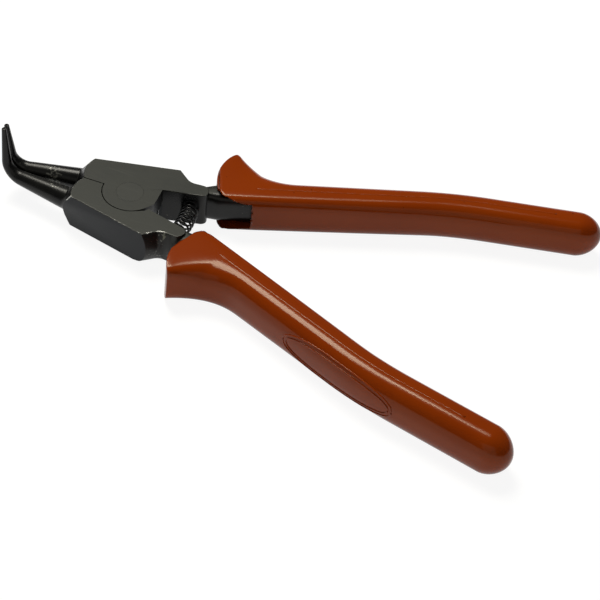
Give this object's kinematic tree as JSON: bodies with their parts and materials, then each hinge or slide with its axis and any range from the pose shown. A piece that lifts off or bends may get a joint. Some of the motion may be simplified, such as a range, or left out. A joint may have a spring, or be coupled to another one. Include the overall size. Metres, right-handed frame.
{
  "type": "circlip pliers",
  "caption": "External circlip pliers with upward-bent round noses, a flush-riveted half-lap joint, a coil return spring and moulded grip sleeves with thumb guards.",
  "frame": {"origin": "on the pivot axis, in the ground face under the head", "axes": "+Z along the pivot axis towards the bent tips, +X from the head towards the handles, +Y towards the upper lever's handle"},
  "size_m": [0.1677, 0.1014, 0.0222],
  "materials": {
    "forged_steel": "dark, ground on the head's faces",
    "rivet_steel": "dark, ground flush",
    "spring_steel": "black",
    "sleeve_plastic": "glossy orange brown"
  },
  "bodies": {
    "lower_handle": {"lower_lever": "forged_steel", "lower_sleeve": "sleeve_plastic", "lower_spring_peg": "forged_steel", "pivot_rivet": "rivet_steel", "return_spring": "spring_steel"},
    "upper_handle": {"upper_lever": "forged_steel", "upper_sleeve": "sleeve_plastic", "upper_spring_peg": "forged_steel"}
  },
  "joints": [
    {"name": "pivot", "type": "hinge", "parent": "lower_handle", "child": "upper_handle", "pos_m": [0, 0, 0.0056], "axis": [0, 0, 1], "range_deg": [-24, 0], "stiffness_Nm_per_rad": 0.45, "springref_deg": 6.3, "deforming": ["return_spring"]}
  ]
}
